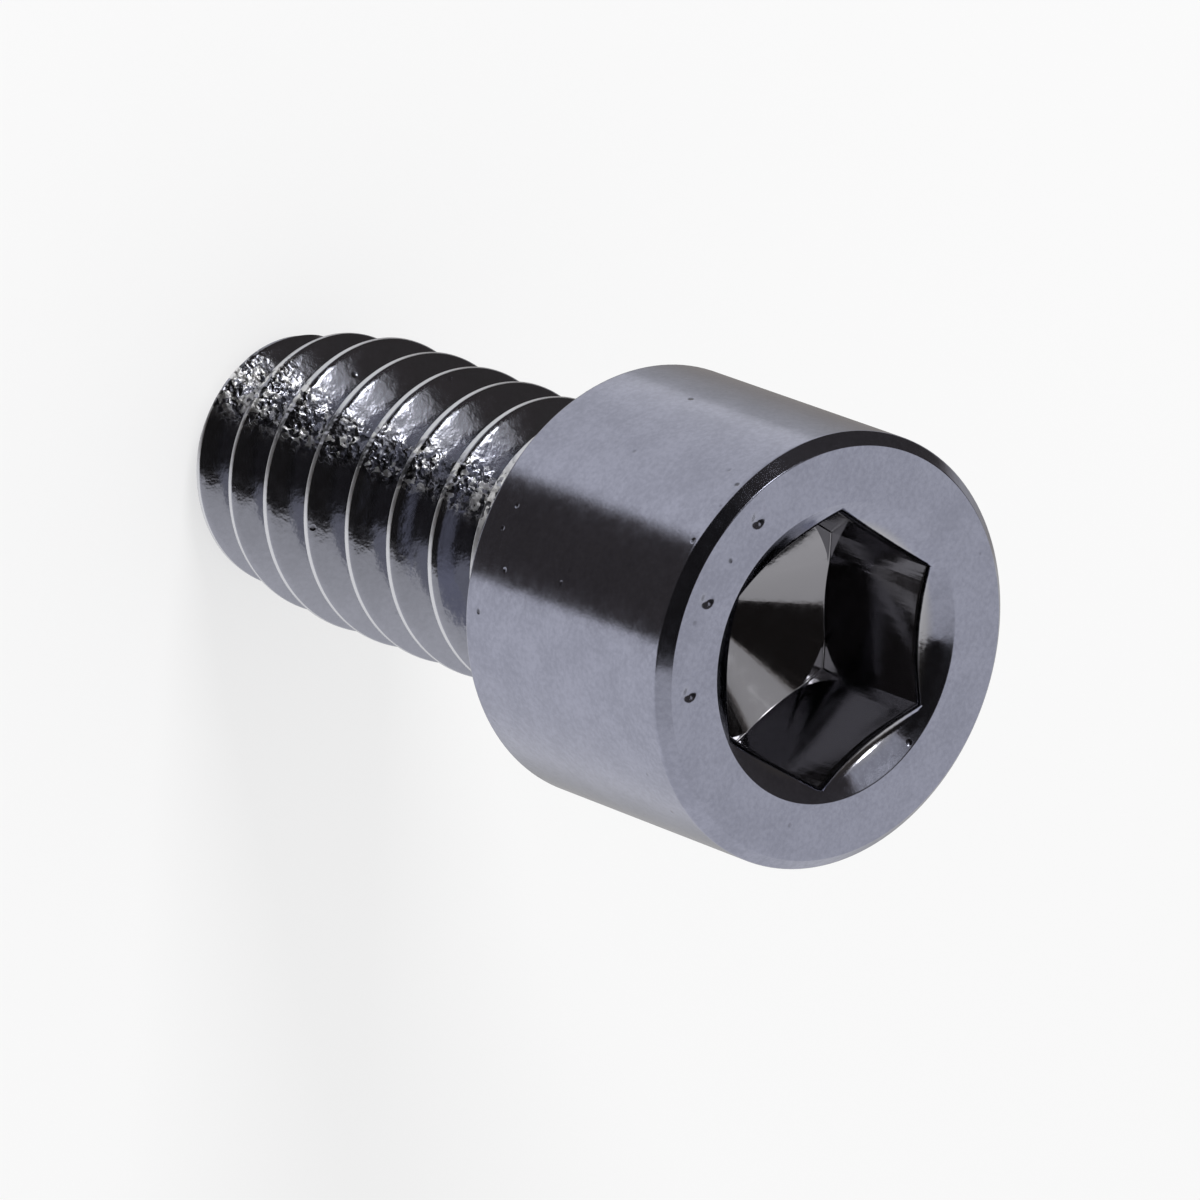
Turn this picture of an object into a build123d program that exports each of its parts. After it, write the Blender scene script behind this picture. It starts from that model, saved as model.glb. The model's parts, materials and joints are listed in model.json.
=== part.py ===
"""Socket head cap screw with a coarse 6.3 mm thread, 18 turns to the inch, 12 mm long, for a 5 mm key.

One solid: a plain cylindrical head with a hexagon socket, a short neck and a right-hand thread that tapers
over its last turns.
Millimetres, +Z up. The screw's axis is Z and the middle of the bearing face under the head is the origin,
so the head lies above z = 0, and the screw stands on the flat end of its thread.
"""
from build123d import *
from math import atan, ceil, degrees, floor, radians, sqrt, tan
import os

# Head: a turned cylinder with a chamfer round its face and a smaller one round its bearing face
head_diameter = 9.3
head_height = 6.5
face_chamfer = 0.25
rim_chamfer = 0.1

# Hexagon socket, with a corner towards -Y, over the point left by the drill
socket_across_flats = 5.1
socket_depth = 3.35
drill_point_angle = 118.0
socket_mouth_diameter = 6.4
mouth_cone_angle = 120.0

# Neck between the bearing face and the thread
neck_diameter = 5.5
neck_length = 0.8
neck_fillet = 0.45

# Right-hand thread, rolled up to the neck
thread_diameter = 6.3
thread_pitch = 1.41
thread_angle = 60.0
thread_depth = 0.84
crest_width = 0.16
full_thread_start = 2.1
run_out_turns = 0.75
shank_length = 12.0

# Lead-in: crests and roots taper from the last whole turn that leaves this length, down to a chamfered end
taper_length = 2.6
taper_angle = 9.0
end_chamfer = 0.4

# Waste: how far a cutter runs past the metal that it takes away
waste = 0.1

# Where the turned shank's seam lies, opposite the places where the parts of the groove meet
seam_angle = 180.0

# Derived sizes
head_radius = head_diameter / 2
neck_radius = neck_diameter / 2
crest_radius = thread_diameter / 2
root_radius = crest_radius - thread_depth
flank_slope = tan(radians(thread_angle / 2))
root_width = thread_pitch - crest_width - 2 * thread_depth * flank_slope
full_turns = floor((shank_length - taper_length - full_thread_start) / thread_pitch)
taper_top = -full_thread_start - full_turns * thread_pitch
tapered_turns = ceil((shank_length + taper_top) / thread_pitch) + 1


def face_in_xz(outline):
    """The face inside a closed outline drawn as (radius, height)."""
    return make_face(Plane.XZ * outline)


def turned(*corners):
    """A solid of revolution about Z, from the (radius, height) corners of half its section."""
    return revolve(face_in_xz(Polyline(*corners, close=True)), Axis.Z)


def head_blank():
    """The head before its socket, with both edges broken."""
    return turned(
        (0, 0),
        (head_radius - rim_chamfer, 0),
        (head_radius, rim_chamfer),
        (head_radius, head_height - face_chamfer),
        (head_radius - face_chamfer, head_height),
        (0, head_height),
    )


def socket_cutter():
    """The broached hexagon, the drill point under it and the cone at its mouth."""
    floor = head_height - socket_depth
    corner_radius = socket_across_flats / sqrt(3)
    broach = Pos(0, 0, floor) * extrude(RegularPolygon(corner_radius, 6, rotation=30), socket_depth + waste)
    drill_radius = socket_across_flats / 2
    point_depth = drill_radius / tan(radians(drill_point_angle / 2))
    drill_point = turned((0, floor - point_depth), (drill_radius, floor), (0, floor))
    mouth_radius = socket_mouth_diameter / 2
    mouth_slope = tan(radians(mouth_cone_angle / 2))
    mouth = turned(
        (0, head_height - mouth_radius / mouth_slope),
        (mouth_radius + waste * mouth_slope, head_height + waste),
        (0, head_height + waste),
    )
    return broach + drill_point + mouth


def groove_section():
    """The groove's section, in its place on the root's helix: a flat root between two flanks, open at the crest."""
    open_height = thread_depth + waste
    open_width = root_width + 2 * open_height * flank_slope
    outline = Polyline(
        (root_radius, -root_width / 2),
        (root_radius + open_height, -open_width / 2),
        (root_radius + open_height, open_width / 2),
        (root_radius, root_width / 2),
        close=True,
    )
    return face_in_xz(outline)


def full_groove():
    """The full groove, swept up the helix of its root."""
    path = Helix(thread_pitch, full_turns * thread_pitch, root_radius)
    return Pos(0, 0, taper_top) * sweep(groove_section(), path=path, is_frenet=True)


def tapered_groove():
    """The groove of the lead-in, swept down a narrowing helix until it is below the screw's end."""
    height = tapered_turns * thread_pitch
    path = Helix(thread_pitch, height, root_radius, direction=(0, 0, -1), cone_angle=-taper_angle)
    from_front = Rot(0, 0, 180) * path
    return Pos(0, 0, taper_top) * sweep(groove_section(), path=from_front, is_frenet=True)


def run_out_groove():
    """The groove's last part, whose helix widens until its root clears the crest."""
    height = run_out_turns * thread_pitch
    widening = degrees(atan((thread_depth + waste) / height))
    path = Helix(thread_pitch, height, root_radius, cone_angle=widening)
    return Pos(0, 0, -full_thread_start) * sweep(groove_section(), path=path, is_frenet=True)


def shank_blank():
    """The shank before its thread: a neck, a full bar, the lead-in's cone and a chamfered end, turned in one."""
    chamfer_top = -shank_length + end_chamfer
    chamfer_radius = crest_radius - (taper_top - chamfer_top) * tan(radians(taper_angle))
    fillet_top = (neck_radius + neck_fillet, 0)
    fillet_foot = (neck_radius, -neck_fillet)
    fillet = RadiusArc(fillet_top, fillet_foot, -neck_fillet)
    walls = Polyline(
        fillet_foot,
        (neck_radius, -neck_length),
        (crest_radius, -neck_length - (crest_radius - neck_radius)),
        (crest_radius, taper_top),
        (chamfer_radius, chamfer_top),
        (chamfer_radius - end_chamfer, -shank_length),
        (0, -shank_length),
        (0, 0),
        fillet_top,
    )
    return Rot(0, 0, seam_angle) * revolve(face_in_xz(fillet + walls), Axis.Z)


def shank():
    """The neck and the thread, with the groove's three parts cut from the end upwards."""
    return shank_blank() - tapered_groove() - full_groove() - run_out_groove()


def cap_screw():
    """The whole screw as one solid."""
    return head_blank() - socket_cutter() + shank()


os.makedirs("parts", exist_ok=True)
export_step(cap_screw(), "parts/cap_screw.step")
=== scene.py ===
"""A socket head cap screw of bright steel, and the studio that it stands in.

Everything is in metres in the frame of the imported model: +Z up along the screw's axis, and the origin in the
middle of the bearing face under the head. The head comes from mesh code and the thread from a Geometry Nodes
rule, and both are joined into the one closed piece that stands for the CAD screw.
"""
import json
from math import acos, ceil, cos, floor, pi, radians, sin, tan
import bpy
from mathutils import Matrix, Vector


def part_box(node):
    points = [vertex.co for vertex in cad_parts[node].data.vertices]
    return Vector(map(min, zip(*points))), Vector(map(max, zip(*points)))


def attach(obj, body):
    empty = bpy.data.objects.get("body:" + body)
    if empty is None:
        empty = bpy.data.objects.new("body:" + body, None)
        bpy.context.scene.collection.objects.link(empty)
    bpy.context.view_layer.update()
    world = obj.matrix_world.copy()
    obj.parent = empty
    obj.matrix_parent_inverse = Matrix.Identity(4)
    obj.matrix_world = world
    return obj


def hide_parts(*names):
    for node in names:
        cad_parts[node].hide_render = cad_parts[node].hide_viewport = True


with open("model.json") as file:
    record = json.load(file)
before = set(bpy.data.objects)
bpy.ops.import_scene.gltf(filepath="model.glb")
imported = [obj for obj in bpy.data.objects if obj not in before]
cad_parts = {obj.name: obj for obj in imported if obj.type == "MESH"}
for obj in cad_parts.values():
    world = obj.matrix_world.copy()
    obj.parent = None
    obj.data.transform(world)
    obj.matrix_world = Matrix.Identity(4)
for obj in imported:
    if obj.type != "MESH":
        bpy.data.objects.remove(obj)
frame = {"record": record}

from types import SimpleNamespace
from typing import NamedTuple

import bmesh
import bpy
from bpy.props import FloatProperty, FloatVectorProperty, IntProperty, PointerProperty
from mathutils import Matrix, Vector

bl_info = {
    "name": "Socket Head Cap Screw",
    "version": (1, 0, 0),
    "blender": (4, 5, 0),
    "location": "3D View > Sidebar > Cap Screw",
    "description": "Makes a steel cap screw with a rolled thread, and a small studio round it",
    "category": "Object",
}

NODE = "cap_screw"
MM = 0.001
PER_MM = 1 / MM
WHITE = (1.0, 1.0, 1.0, 1.0)

# Points nearer to each other than this are welded
WELD = 2e-6
# The drill point has a ring this near the axis, which keeps it sharp. The flat end closes from there inwards.
POLE_RADIUS = 0.1 * MM
# Edges of the head that turn by more than this are drawn sharp
SHARP = radians(25)

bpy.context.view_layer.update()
node_low, node_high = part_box(NODE)
mounts = {mount["name"]: mount for mount in frame["record"]["mounts"]}


def mount_size(name, dimension):
    """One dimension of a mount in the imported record, in metres."""
    return mounts[name]["dims"][dimension] * MM


def length(name, description, default):
    """A length that a user can change."""
    settings = {"min": 0.0, "unit": "LENGTH", "precision": 5}
    return FloatProperty(name=name, description=description, default=default, **settings)


def turn(name, description, degrees):
    """An angle that a user can change."""
    return FloatProperty(name=name, description=description, default=radians(degrees), unit="ROTATION")


def share(name, description, default, highest=1.0):
    """A plain number between nothing and its highest value."""
    return FloatProperty(name=name, description=description, default=default, min=0.0, max=highest)


def colour(name, description, default):
    """A linear colour that a user can change."""
    settings = {"subtype": "COLOR", "size": 3, "min": 0.0, "max": 1.0}
    return FloatVectorProperty(name=name, description=description, default=default, **settings)


def count(name, description, default, lowest):
    """A whole number that a user can change."""
    return IntProperty(name=name, description=description, default=default, min=lowest)


# ---------------------------------------------------------------- sizes and colours


class HeadSizes(bpy.types.PropertyGroup):
    """The turned head."""

    diameter: length("Head diameter", "Outside of the head", 2 * mount_size("head_side", "r_mm"))
    height: length("Head height", "Bearing face to top face", node_high.z)
    face_chamfer: length("Face chamfer", "Bevel round the top face", 0.25 * MM)
    rim_chamfer: length("Rim chamfer", "Bevel round the bearing face", 0.1 * MM)
    edge_round: length("Edge rounding", "Radius left on the turned edges by polishing", 0.09 * MM)
    face_edge_round: length("Face edge rounding", "Radius between the top face and its bevel", 0.045 * MM)
    columns: count("Columns", "Facets round the screw, a multiple of 12", 144, 24)


class SocketSizes(bpy.types.PropertyGroup):
    """The hexagon socket in the head."""

    across_flats: length("Across flats", "Width of the hexagon", 5.1 * MM)
    depth: length("Depth", "Top face to the hexagon's floor", mount_size("hex_socket", "length_mm"))
    mouth_diameter: length("Mouth diameter", "Outside of the cone at the mouth", 6.4 * MM)
    mouth_angle: turn("Mouth angle", "Cone at the mouth", 120.0)
    drill_point_angle: turn("Drill point angle", "Cone left by the drill", 118.0)
    mouth_round: length("Mouth rounding", "Radius where the cone meets the flats", 0.32 * MM)
    floor_round: length("Floor rounding", "Radius where the flats meet the floor", 0.03 * MM)
    drill_excess: length("Drill excess", "How far the drill cut past the flats", 0.12 * MM)


class ThreadSizes(bpy.types.PropertyGroup):
    """The right-hand thread and the neck under the head."""

    diameter: length("Thread diameter", "Outside of the crests", 2 * mount_size("thread", "r_mm"))
    pitch: length("Pitch", "From one crest to the next", 1.41 * MM)
    depth: length("Thread depth", "Crest to root", 0.84 * MM)
    flank_angle: turn("Thread angle", "Between the two flanks of a groove", 60.0)
    crest_width: length("Crest width", "Flat on each crest", 0.16 * MM)
    crest_round: length("Crest rounding", "How far the crest's edges are eased", 0.1 * MM)
    root_round: length("Root rounding", "How far the root's corners are filled", 0.12 * MM)
    start: length("Full thread start", "Bearing face to the middle of the last full groove", 2.1 * MM)
    run_out: share("Run-out", "Turns over which the groove fades out", 0.75, 3.0)
    neck_diameter: length("Neck diameter", "Plain neck under the head", 5.5 * MM)
    neck_length: length("Neck length", "Bearing face to the thread's first cone", 0.8 * MM)
    neck_fillet: length("Neck fillet", "Radius under the head", 0.45 * MM)
    reach: length("Shank length", "Bearing face to the flat end", -node_low.z)
    taper_length: length("Lead-in", "Least length over which the thread tapers at its end", 2.6 * MM)
    taper_angle: turn("Lead-in angle", "Between the lead-in's side and the axis", 9.0)
    end_chamfer: length("End chamfer", "Bevel at the thread's end", 0.4 * MM)
    rows: count("Rows", "Facets across one pitch", 26, 8)


class SteelFinish(bpy.types.PropertyGroup):
    """Colours and roughness of the bright steel."""

    light: colour("Light steel", "Colour of the bright grains", (0.325, 0.334, 0.415))
    dark: colour("Dark steel", "Colour of the dull grains", (0.262, 0.270, 0.338))
    rolled: colour("Rolled steel", "Colour that tints the thread", (0.315, 0.318, 0.34))
    rolled_tint: share("Thread tint", "How far the thread takes that colour", 0.5)
    broached: colour("Broached steel", "Colour inside the socket", (0.31, 0.305, 0.325))
    # Bright steel on the crests, and on part of the socket's flats: wear, and along each crest line also a
    # painted highlight
    worn_and_sheen: colour("Worn steel", "Colour of the rubbed crests", (0.66, 0.665, 0.70))
    worn_flats: share("Worn flats", "How far the socket's flats take that colour", 0.25)
    # Near-white flecks in the scuffs: torn steel, and painted glints as well
    burr_glint: colour("Torn steel", "Colour of the flecks in the scuffs", (0.9, 0.9, 0.91))
    # Near-black for the pits and the scuffs' hollows: painted shade in these recesses
    pit_shade: colour("Pitted steel", "Colour in the pits and the hollows of the scuffs", (0.03, 0.03, 0.035))
    roughness: share("Roughness", "Roughness of the polished faces", 0.13)
    thread_roughness: share("Thread roughness", "Roughness of the rolled thread", 0.12)
    socket_roughness: share("Socket roughness", "Roughness inside the socket and its mouth", 0.07)
    dull_roughness: share("Dull spots", "How much rougher the dull spots outside are", 0.06)
    socket_dull_roughness: share("Dull spots inside", "How much rougher those in the socket are", 0.05)
    flats_roughness: share("Flats", "How much rougher the socket's flats are than its floor", 0.02)
    crest_roughness: share("Crests", "How much rougher the rubbed crests are", 0.2)
    burr_roughness: share("Burrs", "How much rougher the torn flecks are", 0.2)


class SteelGrain(bpy.types.PropertyGroup):
    """Sizes and depths of the patterns that the steel was made with."""

    shade_size: length("Shading grain", "Size of the mottling in the colour", 0.112 * MM)
    cloud_size: length("Clouds", "Size of the broad clouds in the colour", 0.9 * MM)
    dull_size: length("Dull spots", "Size of the duller spots", 0.25 * MM)
    skin_size: length("Grain", "Size of the fine grain", 0.07 * MM)
    skin_depth: length("Grain depth", "Depth of the fine grain", 0.0006 * MM)
    swell_size: length("Waves", "Size of the broad unevenness", 0.7 * MM)
    swell_depth: length("Wave depth", "Depth of the broad unevenness", 0.004 * MM)
    rolled_size: length("Rolling marks", "Size of the unevenness that rolling left on the thread", 0.2 * MM)
    rolled_depth: length("Rolling mark depth", "Depth of that unevenness", 0.006 * MM)
    scratch_size: length("Broach scratches", "Width of the scratches down the socket's flats", 0.12 * MM)
    scratch_depth: length("Scratch depth", "Depth of those scratches", 0.0025 * MM)


class SteelWear(bpy.types.PropertyGroup):
    """Pits, scuffs and punch marks."""

    pit_spacing: length("Pit spacing", "From one pit to the next", 0.5 * MM)
    pit_patch: length("Pitted patches", "Size of the patches that have pits", 1.6 * MM)
    pit_depth: length("Pit depth", "Depth of a pit", 0.01 * MM)
    scuff_bearing: turn("Scuff bearing", "Middle of the scuffed stripe, round the screw from +X", -95.0)
    scuff_turn: turn("Scuff turn", "How far the stripe turns away towards the thread's end", 11.0)
    scuff_core: turn("Scuff core", "Half of the stripe's fully scuffed width", 5.0)
    scuff_edge: turn("Scuff edge", "Half of the stripe's whole width", 15.0)
    scuff_end_spread: turn("Spread at the end", "How much wider each half is at the thread's end", 12.0)
    scuff_head_spread: turn("Spread at the head", "How much wider each half is near the head", 5.0)
    fleck_size: length("Flecks", "Size of the torn flecks", 0.16 * MM)
    fleck_depth: length("Fleck depth", "Height of a fleck above the hollows", 0.05 * MM)
    chip_size: length("Chips", "Size of the flat chips among the flecks", 0.12 * MM)
    chip_depth: length("Chip depth", "Most that one chip stands above another", 0.008 * MM)
    # Patches where the near-white flecks, also painted glints, gather
    burr_glint_patch: length("Burr patches", "Size of the patches with bright burrs", 0.6 * MM)
    dent_patch: length("Dent patches", "Size of the patches with deep dents", 0.5 * MM)
    mark_radius: length("Mark radius", "Radius of each punch mark on the top face", 0.24 * MM)
    mark_depth: length("Mark depth", "Depth of a punch mark", 0.075 * MM)
    mark_bearing: turn("Mark bearing", "Where the middle mark lies, round the screw from +X", -84.0)
    mark_spacing: turn("Mark spacing", "From one mark to the next", 29.0)


class StudioSettings(bpy.types.PropertyGroup):
    """Where the camera stands and how bright the studio is."""

    azimuth: turn("Camera azimuth", "Round the screw, from the front towards the right", 7.5)
    elevation: turn("Camera elevation", "Above the floor", 47.8)
    roll: turn("Camera roll", "Turn of the camera about its own line of sight", 110.4)
    distance: length("Camera distance", "Camera to the screw", 288.0 * MM)
    focal_length: share("Lens", "Focal length on a 36 mm sensor, in mm", 413.0, 1000.0)
    aim_right: length("Aim right", "How far the head's bearing face stands right of the middle", 0.776 * MM)
    aim_up: length("Aim up", "How far the bearing face stands above the middle", 0.42 * MM)
    floor: colour("Floor", "Colour of the pale floor", (0.92, 0.92, 0.92))
    floor_glow: share("Floor glow", "How far the camera sees the floor as plain white", 0.62)
    fill: share("Fill", "Even light from all round on matt things", 0.72)
    key_power: share("Key power", "Power of the key lamp, in watts", 0.5)
    key_distance: length("Key distance", "Key lamp to the screw", 0.3)
    key_size: length("Key size", "Side of the square key lamp", 0.1)
    table: share("Table", "Brightness of the white table that the metal mirrors", 0.92)
    wall: share("Wall", "Brightness of the dark wall beyond the table", 0.07)
    backdrop: share("Backdrop", "Brightness of the backdrop behind the screw", 0.6)
    ceiling: share("Ceiling", "Brightness of the ceiling", 1.04, 2.0)


GROUPS = {
    "screw_head": HeadSizes,
    "screw_socket": SocketSizes,
    "screw_thread": ThreadSizes,
    "screw_finish": SteelFinish,
    "screw_grain": SteelGrain,
    "screw_wear": SteelWear,
    "screw_studio": StudioSettings,
}


# ---------------------------------------------------------------- node trees written as sums


class Flow:
    """An output socket in a node tree, used in sums like a number."""

    def __init__(self, tree, socket):
        self.tree = tree
        self.socket = socket

    def node(self, kind, settings, sockets, output=0):
        """A new node in the same tree. Its settings are set before its sockets, and one output comes back."""
        return add_node(self.tree, kind, settings, sockets, output)

    def maths(self, operation, *values):
        """A Math node on the given values."""
        return self.node("ShaderNodeMath", {"operation": operation}, dict(enumerate(values)))

    def __add__(self, other):
        return self.maths("ADD", self, other)

    def __sub__(self, other):
        return self.maths("SUBTRACT", self, other)

    def __mul__(self, other):
        return self.maths("MULTIPLY", self, other)

    def __truediv__(self, other):
        return self.maths("DIVIDE", self, other)

    def __rsub__(self, other):
        return self.maths("SUBTRACT", other, self)

    def __rtruediv__(self, other):
        return self.maths("DIVIDE", other, self)

    def __neg__(self):
        return self.maths("MULTIPLY", self, -1.0)

    def __abs__(self):
        return self.maths("ABSOLUTE", self)

    __radd__ = __add__
    __rmul__ = __mul__

    def square_root(self):
        return self.maths("SQRT", self)

    def sine(self):
        return self.maths("SINE", self)

    def cosine(self):
        return self.maths("COSINE", self)

    def bearing(self, x):
        """The angle round the origin of a point with this value as its y."""
        return self.maths("ARCTAN2", self, x)

    def is_above(self, limit):
        """1 above a limit, and 0 elsewhere."""
        return self.maths("GREATER_THAN", self, limit)

    def at_least(self, other, ease=0.0):
        """The larger of the two, eased over a distance where they meet."""
        if ease:
            return self.maths("SMOOTH_MAX", self, other, ease)
        return self.maths("MAXIMUM", self, other)

    def at_most(self, other, ease=0.0):
        """The smaller of the two, eased over a distance where they meet."""
        if ease:
            return self.maths("SMOOTH_MIN", self, other, ease)
        return self.maths("MINIMUM", self, other)

    def towards(self, other, mask):
        """This value where the mask is 0, and the other where it is 1."""
        return self + mask * (other - self)

    def wrapped(self, period):
        """The same value less whole periods, within half a period of 0."""
        return self.maths("WRAP", self, period * 0.5, period * -0.5)

    def rise(self, low, high):
        """0 below low, 1 above high, and a smooth step between them."""
        sockets = {"Value": self, "From Min": low, "From Max": high}
        return self.node("ShaderNodeMapRange", {"interpolation_type": "SMOOTHSTEP"}, sockets)

    def parts(self):
        """The x, y and z of a vector."""
        return [self.node("ShaderNodeSeparateXYZ", {}, {0: self}, axis) for axis in "XYZ"]


def add_node(tree, kind, settings, sockets, output=0):
    """A node with its settings set first, then the values or links of its sockets. One output comes back."""
    node = tree.nodes.new(kind)
    for name, value in settings.items():
        setattr(node, name, value)
    for name, value in sockets.items():
        if isinstance(value, Flow):
            tree.links.new(value.socket, node.inputs[name])
        else:
            node.inputs[name].default_value = value
    return Flow(tree, node.outputs[output]) if node.outputs else None


# ---------------------------------------------------------------- bright steel


# Where one zone of the steel fades into the next. Each pair says how far the fade's start and its end lie
# below a face, or inside an edge.
CREST_FADE = (0.014 * MM, 0.004 * MM)
THREAD_FADE = (0.24 * MM, -0.08 * MM)
MOUTH_FADE = (0.25 * MM, 0.1 * MM)
BROACHED_FADE = (0.35 * MM, 0.2 * MM)
NEAR_HEAD_FADE = (3.4 * MM, 2.4 * MM)
NEAR_END_FADE = (7.0 * MM, 11.5 * MM)
# How far above a face its fade ends
FACE_FADE = 0.1 * MM

# Between which levels of its noise each pattern sets in
SHADE_FADE = (0.32, 0.68)
DULL_FADE = (0.3, 0.75)
PIT_FADE = (0.05, 0.16)
PIT_PATCH_FADE = (0.55, 0.63)
HOLLOW_FADE = (0.42, 0.5)
FLECK_FADE = (0.42, 0.48)
CHIP_FADE = (0.6, 0.7)
BURR_GLINT_PATCH_FADE = (0.45, 0.52)
DENT_PATCH_FADE = (0.42, 0.56)

# How strongly the patterns show, from 0 to 1. What the fine grain leaves of the shading, the clouds take.
GRAIN_IN_SHADE = 0.6
# The pits and the scuffs' hollows are painted near-black by these shares, as painted shade
PIT_SHADE_STRENGTH = 0.75
HOLLOW_SHADE_STRENGTH = 0.8
# How far the crests take the bright colour, as wear and as a painted highlight along each crest line
CREST_RUB_AND_SHEEN = 0.9
CREST_LOST_TO_SCUFFS = 0.75
# Dents outside the deep patches, as a share of their full depth
SHALLOW_DENTS = 0.4
# By what share the levels at which the bright torn flecks, also painted glints, set in are lower, at the
# thread's end and near the head
MORE_BURR_GLINTS_AT_END = 0.6
MORE_BURR_GLINTS_AT_HEAD = 0.5

# Noise at a place multiplied by this is drawn out along the axis, as the broach's scratches are
SCRATCH_STRETCH = (1.0, 1.0, 0.04)
# The punch marks on the top face, counted from the middle one
MARKS = (-1, 0, 1)


def mottle(place, size, detail=2.0, roughness=0.5):
    """Cloudy noise between 0 and 1 with spots of one size, at a place given in metres."""
    sockets = {"Vector": place, "Scale": 1 / size, "Detail": detail, "Roughness": roughness}
    return place.node("ShaderNodeTexNoise", {}, sockets)


def waves(place, size, depth, roughness=0.5):
    """Cloudy relief of one size and depth, half of it above the surface and half below."""
    return (mottle(place, size, roughness=roughness) - 0.5) * depth


def cells(place, spacing, smoothness=0.25):
    """Distance from the nearest of many scattered points, as a share of their spacing."""
    sockets = {"Vector": place, "Scale": 1 / spacing, "Smoothness": smoothness}
    return place.node("ShaderNodeTexVoronoi", {"feature": "SMOOTH_F1"}, sockets)


def shards(place, size):
    """A level of its own between 0 and 1 for each of many small cells."""
    colours = place.node("ShaderNodeTexVoronoi", {}, {"Vector": place, "Scale": 1 / size}, "Color")
    return colours.node("ShaderNodeSeparateColor", {}, {0: colours})


def mixed(factor, first, second):
    """A colour between two others."""
    settings = {"data_type": "RGBA"}
    return factor.node("ShaderNodeMix", settings, {0: factor, 6: first, 7: second}, 2)


def opaque(rgb):
    """A colour as a socket takes it."""
    return (*rgb, 1.0)


def below(level, depths):
    """The levels that lie so far below a given one."""
    return [level - depth for depth in depths]


def steel_zones(place, head, socket, thread, wear):
    """Which part of the screw each spot belongs to, as masks between 0 and 1."""
    x, y, height = place.parts()
    radius = (x * x + y * y).square_root()
    socket_floor = head.height - socket.depth
    in_mouth = 1 - radius.rise(*below(socket.mouth_diameter / 2, MOUTH_FADE))
    in_socket = in_mouth * height.rise(0.0, FACE_FADE)
    below_mouth = in_socket * (1 - height.rise(*below(head.height, BROACHED_FADE)))
    on_flats = below_mouth * height.rise(socket_floor, socket_floor + FACE_FADE)

    on_thread = 1 - height.rise(*below(-thread.neck_length, THREAD_FADE))
    narrowed = (taper_start(thread) - height).at_least(0.0) * tan(thread.taper_angle)
    on_crest = (radius + narrowed).rise(*below(thread.diameter / 2, CREST_FADE)) * on_thread
    near_end = (-height).rise(*NEAR_END_FADE)
    near_head = height.rise(*below(0.0, NEAR_HEAD_FADE))
    off_stripe = abs(y.bearing(x) - wear.scuff_bearing + near_end * wear.scuff_turn)
    edge = wear.scuff_edge + near_end * wear.scuff_end_spread + near_head * wear.scuff_head_spread
    scuffed = (1 - off_stripe.rise(wear.scuff_core, edge)) * on_thread
    return SimpleNamespace(
        in_socket=in_socket,
        below_mouth=below_mouth,
        on_flats=on_flats,
        on_thread=on_thread,
        on_crest=on_crest,
        near_end=near_end,
        near_head=near_head,
        scuffed=scuffed,
    )


def steel_damage(place, zones, wear):
    """The pits, the scuffs' torn flecks, chips and hollows, and the bright torn flecks that also paint glints,
    between 0 and 1.
    """
    pits = 1 - cells(place, wear.pit_spacing).rise(*PIT_FADE)
    pits = pits * mottle(place, wear.pit_patch).rise(*PIT_PATCH_FADE) * (1 - zones.in_socket)
    flecks = mottle(place, wear.fleck_size, detail=1.5, roughness=0.6)
    chips = shards(place, wear.chip_size)
    # The scuffs' hollows, which the colour darkens as painted shade
    hollows = zones.scuffed * (1 - flecks.rise(*HOLLOW_FADE))
    # Both ends of the stripe are torn more, so the levels at which the bright flecks and their painted glints
    # set in are lower there
    lowered = 1 - zones.near_end * MORE_BURR_GLINTS_AT_END - zones.near_head * MORE_BURR_GLINTS_AT_HEAD
    burrs_and_glints = zones.scuffed * flecks.rise(*FLECK_FADE)
    burrs_and_glints = burrs_and_glints * chips.rise(lowered * CHIP_FADE[0], lowered * CHIP_FADE[1])
    patches = mottle(place, wear.burr_glint_patch)
    burrs_and_glints = burrs_and_glints * patches.rise(lowered * BURR_GLINT_PATCH_FADE[0], BURR_GLINT_PATCH_FADE[1])
    return SimpleNamespace(pits=pits, flecks=flecks, chips=chips, hollows=hollows, burrs_and_glints=burrs_and_glints)


def steel_colour(place, zones, damage, finish, grain):
    """Mottled grey, tinted zone by zone, with painted shade in the pits and the scuffs' hollows, crests
    brightened as wear and as a painted highlight, and near-white torn flecks in the scuffs that are also
    painted glints.
    """
    grains = mottle(place, grain.shade_size, detail=3.0, roughness=0.6)
    clouds = mottle(place, grain.cloud_size)
    shade = (grains * GRAIN_IN_SHADE + clouds * (1 - GRAIN_IN_SHADE)).rise(*SHADE_FADE)
    polished = mixed(shade, opaque(finish.dark), opaque(finish.light))
    tinted = mixed(zones.on_thread * finish.rolled_tint, polished, opaque(finish.rolled))
    tinted = mixed(zones.below_mouth, tinted, opaque(finish.broached))
    tinted = mixed(zones.on_flats * finish.worn_flats, tinted, opaque(finish.worn_and_sheen))
    # Painted shade: the pits turn near-black
    pit_shaded = mixed(damage.pits * PIT_SHADE_STRENGTH, tinted, opaque(finish.pit_shade))
    # The crests turn bright: bare steel from wear, and a painted highlight along each crest line
    crest_rub_and_sheen = zones.on_crest * (CREST_RUB_AND_SHEEN - zones.scuffed * CREST_LOST_TO_SCUFFS)
    rubbed_and_sheened = mixed(crest_rub_and_sheen, pit_shaded, opaque(finish.worn_and_sheen))
    # Painted shade: the scuffs' hollows turn near-black
    hollow_shaded = mixed(damage.hollows * HOLLOW_SHADE_STRENGTH, rubbed_and_sheened, opaque(finish.pit_shade))
    # Painted glints: the bright torn flecks turn near-white
    return mixed(damage.burrs_and_glints, hollow_shaded, opaque(finish.burr_glint))


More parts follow.
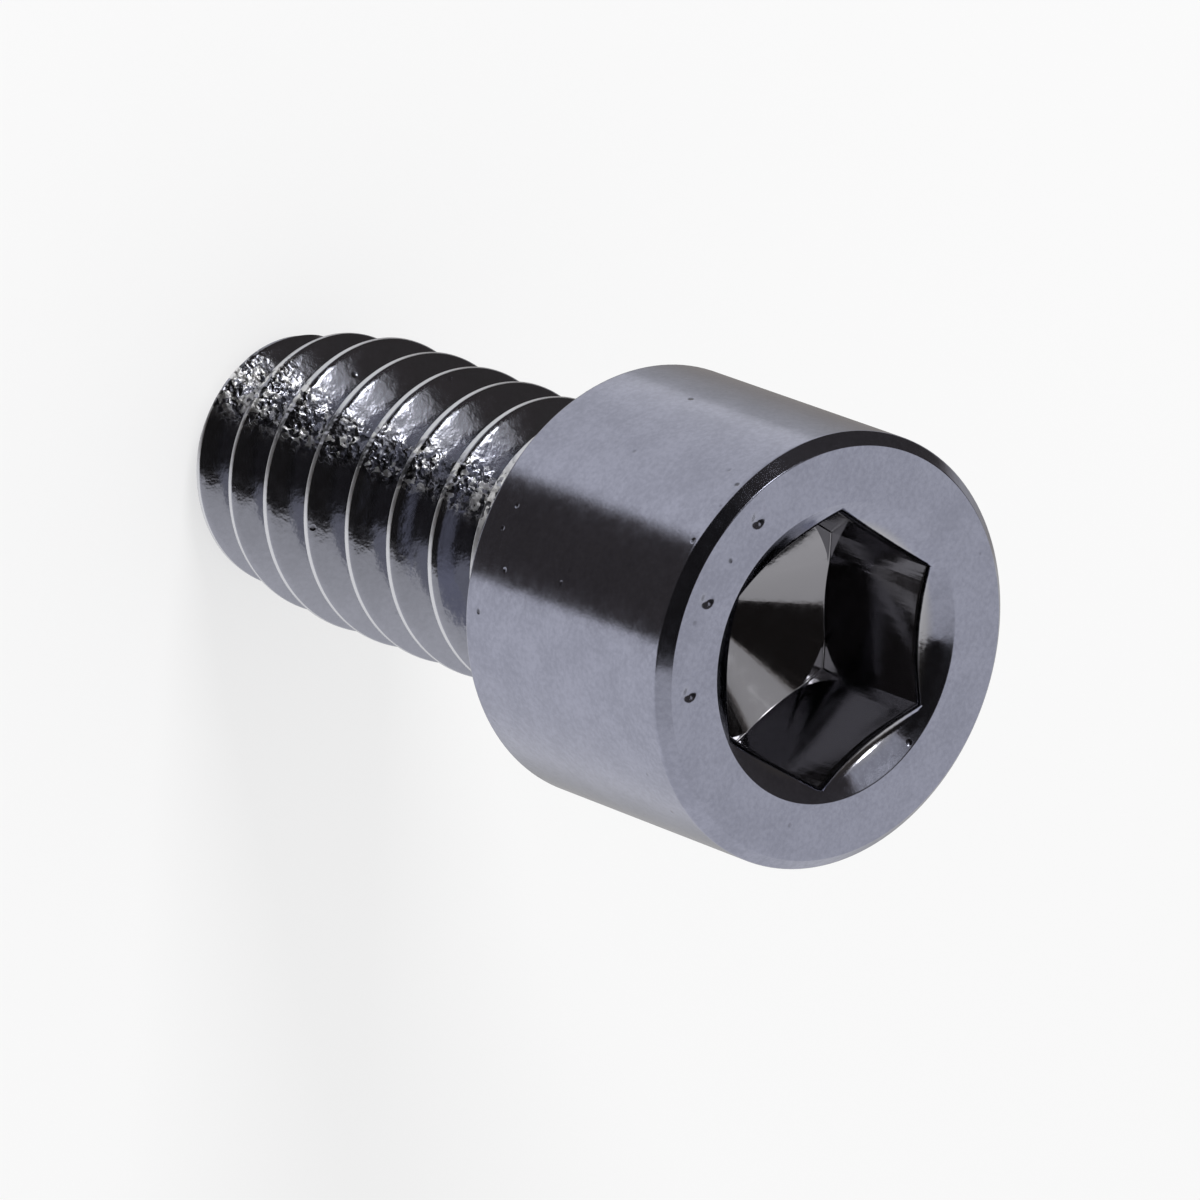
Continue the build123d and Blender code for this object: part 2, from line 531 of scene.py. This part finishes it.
def steel_roughness(place, zones, damage, finish, grain):
    """The polish, duller in spots, on the crests and on the bright torn flecks, and finer in the socket."""
    dull = mottle(place, grain.dull_size, detail=3.0, roughness=0.6).rise(*DULL_FADE)
    outside = finish.roughness + dull * finish.dull_roughness + zones.on_crest * finish.crest_roughness
    outside = outside + zones.on_thread * (finish.thread_roughness - finish.roughness)
    inside = finish.socket_roughness + dull * finish.socket_dull_roughness
    inside = inside + zones.on_flats * finish.flats_roughness
    return outside.towards(inside, zones.in_socket) + damage.burrs_and_glints * finish.burr_roughness


def punch_marks(place, head, socket, wear):
    """How deep each spot lies in one of the round punch marks on the top face, between 0 and 1."""
    ring_radius = (head.diameter / 2 + socket.mouth_diameter / 2) / 2
    deep = 0.0
    for step in MARKS:
        bearing = wear.mark_bearing + step * wear.mark_spacing
        centre = Vector((ring_radius * cos(bearing), ring_radius * sin(bearing), head.height))
        away = place.node("ShaderNodeVectorMath", {"operation": "DISTANCE"}, {0: place, 1: centre}, 1)
        deep = (1 - away.rise(0.0, wear.mark_radius)) + deep
    return deep


def steel_relief(place, zones, damage, marks, grain, wear):
    """How far each spot stands out of the smooth surface, in millimetres."""
    skin = waves(place, grain.skin_size, grain.skin_depth)
    swell = waves(place, grain.swell_size, grain.swell_depth)
    rolled = waves(place, grain.rolled_size, grain.rolled_depth, roughness=0.6) * zones.on_thread
    stretching = {0: place, 1: SCRATCH_STRETCH}
    drawn_out = place.node("ShaderNodeVectorMath", {"operation": "MULTIPLY"}, stretching)
    scratches = waves(drawn_out, grain.scratch_size, grain.scratch_depth) * zones.on_flats
    patches = mottle(place, wear.dent_patch).rise(*DENT_PATCH_FADE)
    dents = (damage.flecks * wear.fleck_depth + damage.chips * wear.chip_depth) * zones.scuffed
    dents = dents * (SHALLOW_DENTS + patches * (1 - SHALLOW_DENTS))
    sunk = damage.pits * wear.pit_depth + marks * wear.mark_depth
    return (skin + swell + rolled + scratches + dents - sunk) * PER_MM


def bright_steel(scene):
    """Polished steel with a fine mottled grain, and a coarser, scuffed skin on the rolled thread."""
    head, socket, thread = scene.screw_head, scene.screw_socket, scene.screw_thread
    finish, grain, wear = scene.screw_finish, scene.screw_grain, scene.screw_wear
    material = bpy.data.materials.new("bright_steel")
    material.use_nodes = True
    tree = material.node_tree
    tree.nodes.clear()
    place = add_node(tree, "ShaderNodeTexCoord", {}, {}, "Object")
    zones = steel_zones(place, head, socket, thread, wear)
    damage = steel_damage(place, zones, wear)
    relief = steel_relief(place, zones, damage, punch_marks(place, head, socket, wear), grain, wear)
    normal = relief.node("ShaderNodeBump", {}, {"Height": relief, "Distance": MM, "Strength": 1.0})
    surface = {
        "Base Color": steel_colour(place, zones, damage, finish, grain),
        "Metallic": 1.0,
        "Roughness": steel_roughness(place, zones, damage, finish, grain),
        "Normal": normal,
    }
    shader = normal.node("ShaderNodeBsdfPrincipled", {}, surface)
    shader.node("ShaderNodeOutputMaterial", {}, {"Surface": shader})
    return material


# ---------------------------------------------------------------- the head and its socket


def rounded(corners, steps=5, lead=0.02 * MM):
    """A path through (radius, height, rounding) corners, with an arc and lead-in points at rounded ones."""
    path = [Vector(corners[0][:2])]
    for before, corner, after in zip(corners, corners[1:], corners[2:]):
        tip = Vector(corner[:2])
        rounding = corner[2]
        if not rounding:
            path.append(tip)
            continue
        arm = (Vector(before[:2]) - tip).normalized()
        leg = (Vector(after[:2]) - tip).normalized()
        half = acos(max(-1.0, min(1.0, arm.dot(leg)))) / 2
        run = rounding / tan(half)
        centre = tip + (arm + leg).normalized() * rounding / sin(half)
        first = tip + arm * run - centre
        sweep = first.angle_signed(tip + leg * run - centre)
        path.append(tip + arm * (run + lead))
        for step in range(steps + 1):
            path.append(centre + Matrix.Rotation(-sweep * step / steps, 2) @ first)
        path.append(tip + leg * (run + lead))
    path.append(Vector(corners[-1][:2]))
    return path


def hexagon_radius(angle, across_flats):
    """Distance from the axis to the hexagon's wall at an angle, with a flat facing +X."""
    off_flat = (angle + pi / 6) % (pi / 3) - pi / 6
    return across_flats / 2 / cos(off_flat)


def head_corners(angle, head, socket, thread):
    """The head's section at one angle, from the neck round the outside and down to the point of the drill."""
    neck = thread.neck_diameter / 2
    outer = head.diameter / 2
    mouth = socket.mouth_diameter / 2
    mouth_slope = tan(socket.mouth_angle / 2)
    wall = hexagon_radius(angle, socket.across_flats)
    socket_floor = head.height - socket.depth
    drill = socket.across_flats / 2 + socket.drill_excess
    drill_slope = tan(socket.drill_point_angle / 2)
    # The drill's cone ends where the rounding at the foot of the wall begins
    edge = min(drill, wall - 2 * socket.floor_round)
    return [
        (neck, -thread.neck_length, 0),
        (neck, 0, thread.neck_fillet),
        (outer - head.rim_chamfer, 0, head.edge_round),
        (outer, head.rim_chamfer, head.edge_round),
        (outer, head.height - head.face_chamfer, head.edge_round),
        (outer - head.face_chamfer, head.height, head.face_edge_round),
        (mouth, head.height, head.edge_round),
        (wall, head.height - (mouth - wall) / mouth_slope, socket.mouth_round),
        (wall, socket_floor - max(0.0, drill - wall) / drill_slope, socket.floor_round),
        (edge, socket_floor - (drill - edge) / drill_slope, 0),
        (POLE_RADIUS, socket_floor - (drill - POLE_RADIUS) / drill_slope, 0),
        (0, socket_floor - drill / drill_slope, 0),
    ]


def head_mesh(head, socket, thread):
    """The head as rings of quads, open at the foot of the neck."""
    mesh_maker = bmesh.new()
    columns = []
    for column in range(head.columns):
        angle = 2 * pi * column / head.columns
        path = rounded(head_corners(angle, head, socket, thread))
        columns.append([mesh_maker.verts.new((r * cos(angle), r * sin(angle), z)) for r, z in path])
    for left, right in zip(columns, columns[1:] + columns[:1]):
        for low in range(len(left) - 1):
            mesh_maker.faces.new((left[low], right[low], right[low + 1], left[low + 1]))
    bmesh.ops.remove_doubles(mesh_maker, verts=mesh_maker.verts, dist=WELD)
    bmesh.ops.dissolve_degenerate(mesh_maker, edges=mesh_maker.edges, dist=WELD / 2)
    mesh = bpy.data.meshes.new("screw_head")
    mesh_maker.to_mesh(mesh)
    mesh_maker.free()
    mesh.shade_smooth()
    mesh.set_sharp_from_angle(angle=SHARP)
    return mesh


# ---------------------------------------------------------------- the thread


# How strongly the strip's rows crowd together at the crest and at the root, where the section bends
CROWDING = 0.62
# The run-out's root rises by this share of the thread's depth, so that it clears the crest
RUN_OUT_RISE = 1.12


def taper_start(thread):
    """Where the lead-in's taper starts: at the last whole turn that leaves the lead-in its length."""
    full_turns = floor((thread.reach - thread.taper_length - thread.start) / thread.pitch)
    return -thread.start - full_turns * thread.pitch


def thread_inputs(head, thread):
    """The named inputs of the thread's rule."""
    crest = thread.diameter / 2
    slope = tan(thread.flank_angle / 2)
    taper_top = taper_start(thread)
    taper_slope = tan(thread.taper_angle)
    end = crest - (thread.reach - thread.end_chamfer + taper_top) * taper_slope - thread.end_chamfer
    # The strip is a pitch wide, so it runs on for half a turn past the axis below and past the neck above
    below_start = ceil((thread.reach + end - thread.start) / thread.pitch + 0.5)
    above_start = ceil((thread.start - thread.neck_length) / thread.pitch + 0.5)
    return {
        "Turns": float(below_start + above_start),
        "Turns below start": float(below_start),
        "Pitch": thread.pitch,
        "Start": thread.start,
        "Crest radius": crest,
        "Root radius": crest - thread.depth,
        "Flank slope": slope,
        "Root half width": (thread.pitch - thread.crest_width) / 2 - thread.depth * slope,
        "Crest rounding": thread.crest_round,
        "Root rounding": thread.root_round,
        "Run-out turns": thread.run_out,
        "Neck radius": thread.neck_diameter / 2,
        "Neck length": thread.neck_length,
        "Reach": thread.reach,
        "End radius": end,
        "Taper top": taper_top,
        "Taper slope": taper_slope,
        "Columns": head.columns,
        "Rows": thread.rows,
    }


def thread_radius(size, turned, level, height, middle):
    """How far each spot of the strip lies from the axis, on the thread, the neck or the flat end."""
    off_middle = (level - middle).wrapped(size["Pitch"])
    taper = (size["Taper top"] - level).at_least(0.0) * size["Taper slope"]
    run_out = ((turned - size["Turns below start"]) / size["Run-out turns"]).at_least(0.0)
    root = size["Root radius"] + run_out * (size["Crest radius"] - size["Root radius"]) * RUN_OUT_RISE
    flank = root + (abs(off_middle) - size["Root half width"]) / size["Flank slope"]
    groove = flank.at_least(root, size["Root rounding"])
    thread = groove.at_most(size["Crest radius"], size["Crest rounding"]) - taper
    # Below the flat end the height goes on falling, which closes the end inwards
    cone = size["Neck radius"] + (-size["Neck length"] - height).at_least(0.0)
    end = size["End radius"] + (height + size["Reach"])
    radius = thread.at_most(cone, size["Crest rounding"]).at_most(end).at_least(0.0)
    radius = radius * radius.is_above(POLE_RADIUS)
    return radius.towards(size["Neck radius"], height.is_above(-size["Neck length"]))


def thread_tree(inputs, material):
    """The rule of the thread: one long strip, a pitch wide, wound round the screw and welded to itself."""
    tree = bpy.data.node_groups.new("thread_rule", "GeometryNodeTree")
    for name, value in inputs.items():
        kind = "NodeSocketInt" if isinstance(value, int) else "NodeSocketFloat"
        tree.interface.new_socket(name, in_out="INPUT", socket_type=kind)
    tree.interface.new_socket("Mesh", in_out="OUTPUT", socket_type="NodeSocketGeometry")
    given = tree.nodes.new("NodeGroupInput")
    size = {name: Flow(tree, given.outputs[name]) for name in inputs}
    turns = size["Turns"]

    counts = {2: size["Columns"] * turns + 1, 3: size["Rows"] + 1}
    strip = turns.node("GeometryNodeMeshGrid", {}, {0: turns, 1: 1.0, **counts})
    along, side, _ = add_node(tree, "GeometryNodeInputPosition", {}, {}).parts()
    turned = along + turns / 2
    crowded = side * 2 - (side * (4 * pi)).sine() * (CROWDING / (2 * pi))
    middle = (turned - size["Turns below start"]) * size["Pitch"] - size["Start"]
    height = middle + crowded * size["Pitch"] / 2
    level = height.at_most(-size["Neck length"]).at_least(-size["Reach"])

    radius = thread_radius(size, turned, level, height, middle)
    angle = turned * (2 * pi)
    around = {0: radius * angle.cosine(), 1: radius * angle.sine(), 2: level}
    spot = radius.node("ShaderNodeCombineXYZ", {}, around)
    wound = spot.node("GeometryNodeSetPosition", {}, {"Geometry": strip, "Position": spot})
    welded = wound.node("GeometryNodeMergeByDistance", {}, {"Geometry": wound, "Distance": WELD})
    smooth = welded.node("GeometryNodeSetShadeSmooth", {}, {"Geometry": welded})
    real = smooth.node("GeometryNodeRealizeInstances", {}, {"Geometry": smooth})
    dressed = real.node("GeometryNodeSetMaterial", {}, {"Geometry": real, "Material": material})
    add_node(tree, "NodeGroupOutput", {}, {0: dressed})
    return tree


def thread_mesh(head, thread, material):
    """The threaded shank as a plain mesh, open at the foot of the neck."""
    inputs = thread_inputs(head, thread)
    carrier = bpy.data.objects.new("thread_strip", bpy.data.meshes.new("thread_strip"))
    bpy.context.collection.objects.link(carrier)
    modifier = carrier.modifiers.new("Thread", "NODES")
    modifier.node_group = thread_tree(inputs, material)
    for item in modifier.node_group.interface.items_tree:
        if item.in_out == "INPUT":
            modifier[item.identifier] = inputs[item.name]
    shaped = carrier.evaluated_get(bpy.context.evaluated_depsgraph_get())
    mesh = bpy.data.meshes.new_from_object(shaped)
    carrier.modifiers.remove(modifier)
    bpy.data.objects.remove(carrier)
    mesh.name = "screw_thread"
    return mesh


def joined(head, shank):
    """One closed mesh from the two halves, welded at the foot of the neck."""
    mesh_maker = bmesh.new()
    mesh_maker.from_mesh(head)
    mesh_maker.from_mesh(shank)
    seam = [vert for vert in mesh_maker.verts if vert.is_boundary]
    bmesh.ops.remove_doubles(mesh_maker, verts=seam, dist=WELD)
    if any(len(edge.link_faces) != 2 for edge in mesh_maker.edges):
        raise RuntimeError("the screw's surface isn't closed")
    bmesh.ops.recalc_face_normals(mesh_maker, faces=mesh_maker.faces)
    mesh = bpy.data.meshes.new("screw_surface")
    mesh_maker.to_mesh(mesh)
    mesh_maker.free()
    return mesh


class SCREW_OT_make_screw(bpy.types.Operator):
    """Make the whole screw as one closed piece of bright steel"""

    bl_idname = "screw.make_screw"
    bl_label = "Make Screw"
    bl_options = {"REGISTER", "UNDO"}

    def execute(self, context):
        scene = context.scene
        head, socket, thread = scene.screw_head, scene.screw_socket, scene.screw_thread
        steel = bright_steel(scene)
        mesh = joined(head_mesh(head, socket, thread), thread_mesh(head, thread, steel))
        # The thread's faces have a slot number of their own. Clearing the slots sets it to the first one.
        mesh.materials.clear()
        mesh.materials.append(steel)
        screw = bpy.data.objects.new("screw_surface", mesh)
        scene.collection.objects.link(screw)
        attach(screw, "root")
        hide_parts(NODE)
        return {"FINISHED"}


# ---------------------------------------------------------------- the studio


# The camera sees from its distance over this number to its distance times it
CLIP_RATIO = 20
# Half the side of the floor, in metres
FLOOR_REACH = 3.0
# Where the key lamp hangs, as right, up and back from the screw
KEY_LAMP_DIRECTION = (0.25, 0.8, 0.75)

# Where the surfaces of the mirrored room meet and fade, as parts of a unit direction: its right, its up, its
# back towards the camera, or its depth away from the camera
BACKDROP_DEPTH = (0.64, 0.8)
FAR_DEPTH = (0.75, 1.0)
SIDE_WALL_DEPTH = (0.3, 0.5)
SIDE_WALL_RIGHT = (-0.5, 0.0)
TABLE_BACK = (0.2, 0.9)
WALL_BACK = (0.45, 0.85)
HORIZON_BACK = (0.0, 0.9)
HORIZON_RIGHT = (-0.2, 0.5)
HORIZON_FADE = (-0.015, 0.02)
CEILING_EDGE = (0.61, 0.67)
CEILING_EDGE_RIGHT = (-0.2, 0.6)
CEILING_RIGHT = (0.0, 0.22)
CEILING_UP = (0.6, 1.0)

# How high the table's far edge stands, and how much lower it is towards the camera and there on the right
HORIZON = 0.04
HORIZON_DROP = 0.46
HORIZON_DROP_RIGHT = 0.08
# How much higher the ceiling's edge stands on the right
CEILING_EDGE_RISE = 0.1

# How much darker each surface grows: to the right, far behind the screw, towards the camera or straight above
TABLE_LOSS_RIGHT = 0.07
TABLE_LOSS_FAR = 0.45
TABLE_LOSS_BACK = 0.22
BACKDROP_LOSS_FAR = 0.3
WALL_LOSS_BACK = 0.055
CEILING_LOSS_ABOVE = 0.2

# The dark parts of the surround are a little warm, up to this brightness
WARM_DARK = (1.0, 0.9, 0.84)
WARM_FADE = (0.1, 0.6)


class Card(NamedTuple):
    """A round light or pale card that only the metal mirrors."""

    direction: tuple  # right, up and back from the screw
    half_angle: float  # in degrees, to the start of the soft edge
    soft_edge: float  # in degrees
    brightness: float


CARDS = (
    Card(direction=(0.67, 0.37, 0.64), half_angle=13, soft_edge=4, brightness=0.62),
    Card(direction=(0.595, 0.5, 0.63), half_angle=4.5, soft_edge=3, brightness=8.5),
)


def camera_axes(studio):
    """The camera's right, up and back directions."""
    azimuth, elevation = studio.azimuth, studio.elevation
    back = Vector((sin(azimuth) * cos(elevation), -cos(azimuth) * cos(elevation), sin(elevation)))
    level = Vector((cos(azimuth), sin(azimuth), 0.0))
    turned = Matrix.Rotation(studio.roll, 3, back)
    return turned @ level, turned @ back.cross(level), back


def studio_direction(axes, right, up, back):
    """A unit direction given in the camera's own terms."""
    return (axes[0] * right + axes[1] * up + axes[2] * back).normalized()


def add_camera(studio):
    """The camera, on its long lens."""
    right, up, back = camera_axes(studio)
    lens = bpy.data.cameras.new("camera")
    lens.lens = studio.focal_length
    lens.clip_start = studio.distance / CLIP_RATIO
    lens.clip_end = studio.distance * CLIP_RATIO
    camera = bpy.data.objects.new("camera", lens)
    aim = -right * studio.aim_right - up * studio.aim_up
    turned = Matrix((right, up, back)).transposed().to_4x4()
    camera.matrix_world = Matrix.Translation(aim + back * studio.distance) @ turned
    bpy.context.scene.collection.objects.link(camera)
    bpy.context.scene.camera = camera


def pale_floor(studio):
    """Plain matt paint, which the camera sees partly as white light. It keeps the screw's shadow."""
    material = bpy.data.materials.new("pale_floor")
    material.use_nodes = True
    tree = material.node_tree
    tree.nodes.clear()
    paint = add_node(tree, "ShaderNodeBsdfDiffuse", {}, {"Color": opaque(studio.floor)})
    white = paint.node("ShaderNodeEmission", {}, {"Color": WHITE, "Strength": 1.0})
    seen = paint.node("ShaderNodeLightPath", {}, {}, "Is Camera Ray")
    surface = seen.node("ShaderNodeMixShader", {}, {0: seen * studio.floor_glow, 1: paint, 2: white})
    surface.node("ShaderNodeOutputMaterial", {}, {"Surface": surface})
    return material


def add_floor(studio):
    """A wide plain floor under the screw's end."""
    mesh = bpy.data.meshes.new("floor")
    signs = ((-1, -1), (1, -1), (1, 1), (-1, 1))
    corners = [(x * FLOOR_REACH, y * FLOOR_REACH, node_low.z) for x, y in signs]
    mesh.from_pydata(corners, [], [(0, 1, 2, 3)])
    mesh.materials.append(pale_floor(studio))
    plane = bpy.data.objects.new("floor", mesh)
    bpy.context.scene.collection.objects.link(plane)
    plane.visible_glossy = False


def add_key_lamp(studio):
    """A square soft lamp that shines at the screw."""
    light = bpy.data.lights.new("key_lamp", "AREA")
    light.size = studio.key_size
    light.energy = studio.key_power
    lamp = bpy.data.objects.new("key_lamp", light)
    direction = studio_direction(camera_axes(studio), *KEY_LAMP_DIRECTION)
    lamp.rotation_mode = "QUATERNION"
    lamp.rotation_quaternion = direction.to_track_quat("Z", "Y")
    lamp.location = direction * studio.key_distance
    lamp.visible_glossy = False
    bpy.context.scene.collection.objects.link(lamp)


def part_along(place, direction):
    """How far a unit direction goes along another one."""
    return place.node("ShaderNodeVectorMath", {"operation": "DOT_PRODUCT"}, {0: place, 1: direction}, 1)


def mirrored_room(studio, right, up, back):
    """How bright the mirrored room is: a white table, a dark wall, a backdrop and a bright ceiling."""
    depth = -back
    far_behind = depth.rise(*FAR_DEPTH)
    table = studio.table - right * TABLE_LOSS_RIGHT - far_behind * TABLE_LOSS_FAR
    table = table - back.rise(*TABLE_BACK) * TABLE_LOSS_BACK
    backdrop = studio.backdrop - far_behind * BACKDROP_LOSS_FAR
    ceiling = studio.ceiling - up.rise(*CEILING_UP) * CEILING_LOSS_ABOVE

    beside = depth.rise(*SIDE_WALL_DEPTH) * (1 - right.rise(*SIDE_WALL_RIGHT))
    on_backdrop = depth.rise(*BACKDROP_DEPTH).at_least(beside)
    wall = studio.wall - back.rise(*WALL_BACK) * WALL_LOSS_BACK + on_backdrop * (backdrop - studio.wall)
    drop = HORIZON_DROP + right.rise(*HORIZON_RIGHT) * HORIZON_DROP_RIGHT
    above_table = (up - (HORIZON - back.rise(*HORIZON_BACK) * drop)).rise(*HORIZON_FADE)
    ceiling_edge = right.rise(*CEILING_EDGE_RIGHT) * CEILING_EDGE_RISE
    above_wall = (up - ceiling_edge).rise(*CEILING_EDGE) * (1 - right.rise(*CEILING_RIGHT))
    return table.towards(wall, above_table).towards(ceiling, above_wall)


def add_world(studio):
    """A white surround for the camera, even light for matt things, and the room that the metal mirrors."""
    world = bpy.data.worlds.new("studio")
    world.use_nodes = True
    bpy.context.scene.world = world
    tree = world.node_tree
    tree.nodes.clear()
    axes = camera_axes(studio)
    place = add_node(tree, "ShaderNodeTexCoord", {}, {}, "Generated")
    mirrored = mirrored_room(studio, *(part_along(place, axis) for axis in axes))
    for card in CARDS:
        outer, inner = (cos(radians(card.half_angle + edge)) for edge in (card.soft_edge, 0))
        on_card = part_along(place, studio_direction(axes, *card.direction)).rise(outer, inner)
        mirrored = mirrored.towards(card.brightness, on_card)
    seen = add_node(tree, "ShaderNodeLightPath", {}, {}, "Is Camera Ray")
    glossy = add_node(tree, "ShaderNodeLightPath", {}, {}, "Is Glossy Ray")
    strength = seen + (1 - seen) * (glossy * mirrored + (1 - glossy) * studio.fill)
    warmth = mixed(mirrored.rise(*WARM_FADE), opaque(WARM_DARK), WHITE)
    tint = mixed(glossy, WHITE, warmth)
    light = strength.node("ShaderNodeBackground", {}, {"Color": tint, "Strength": strength})
    light.node("ShaderNodeOutputWorld", {}, {"Surface": light})


class SCREW_OT_set_studio(bpy.types.Operator):
    """Set the floor, the lamp, the surround and the camera round the screw"""

    bl_idname = "screw.set_studio"
    bl_label = "Set Studio"
    bl_options = {"REGISTER", "UNDO"}

    def execute(self, context):
        studio = context.scene.screw_studio
        add_camera(studio)
        add_floor(studio)
        add_world(studio)
        add_key_lamp(studio)
        context.scene.view_settings.view_transform = "Standard"
        return {"FINISHED"}


# ---------------------------------------------------------------- the sidebar and the run


MAKERS = (SCREW_OT_make_screw, SCREW_OT_set_studio)


class SCREW_PT_panel(bpy.types.Panel):
    """Lists the screw's sizes and its makers."""

    bl_label = "Cap Screw"
    bl_idname = "SCREW_PT_panel"
    bl_space_type = "VIEW_3D"
    bl_region_type = "UI"
    bl_category = "Cap Screw"

    def draw(self, context):
        for group in GROUPS:
            box = self.layout.box()
            settings = getattr(context.scene, group)
            for name in settings.__annotations__:
                box.prop(settings, name)
        for maker in MAKERS:
            self.layout.operator(maker.bl_idname)


def register():
    """Registers the settings, the operators and the panel."""
    for name, group in GROUPS.items():
        bpy.utils.register_class(group)
        setattr(bpy.types.Scene, name, PointerProperty(type=group))
    for maker in MAKERS:
        bpy.utils.register_class(maker)
    bpy.utils.register_class(SCREW_PT_panel)


def unregister():
    """Takes everything off again."""
    bpy.utils.unregister_class(SCREW_PT_panel)
    for maker in MAKERS:
        bpy.utils.unregister_class(maker)
    for name, group in GROUPS.items():
        delattr(bpy.types.Scene, name)
        bpy.utils.unregister_class(group)


def main():
    """Makes the screw and its studio."""
    register()
    bpy.ops.screw.make_screw()
    bpy.ops.screw.set_studio()


if __name__ == "__main__":
    main()
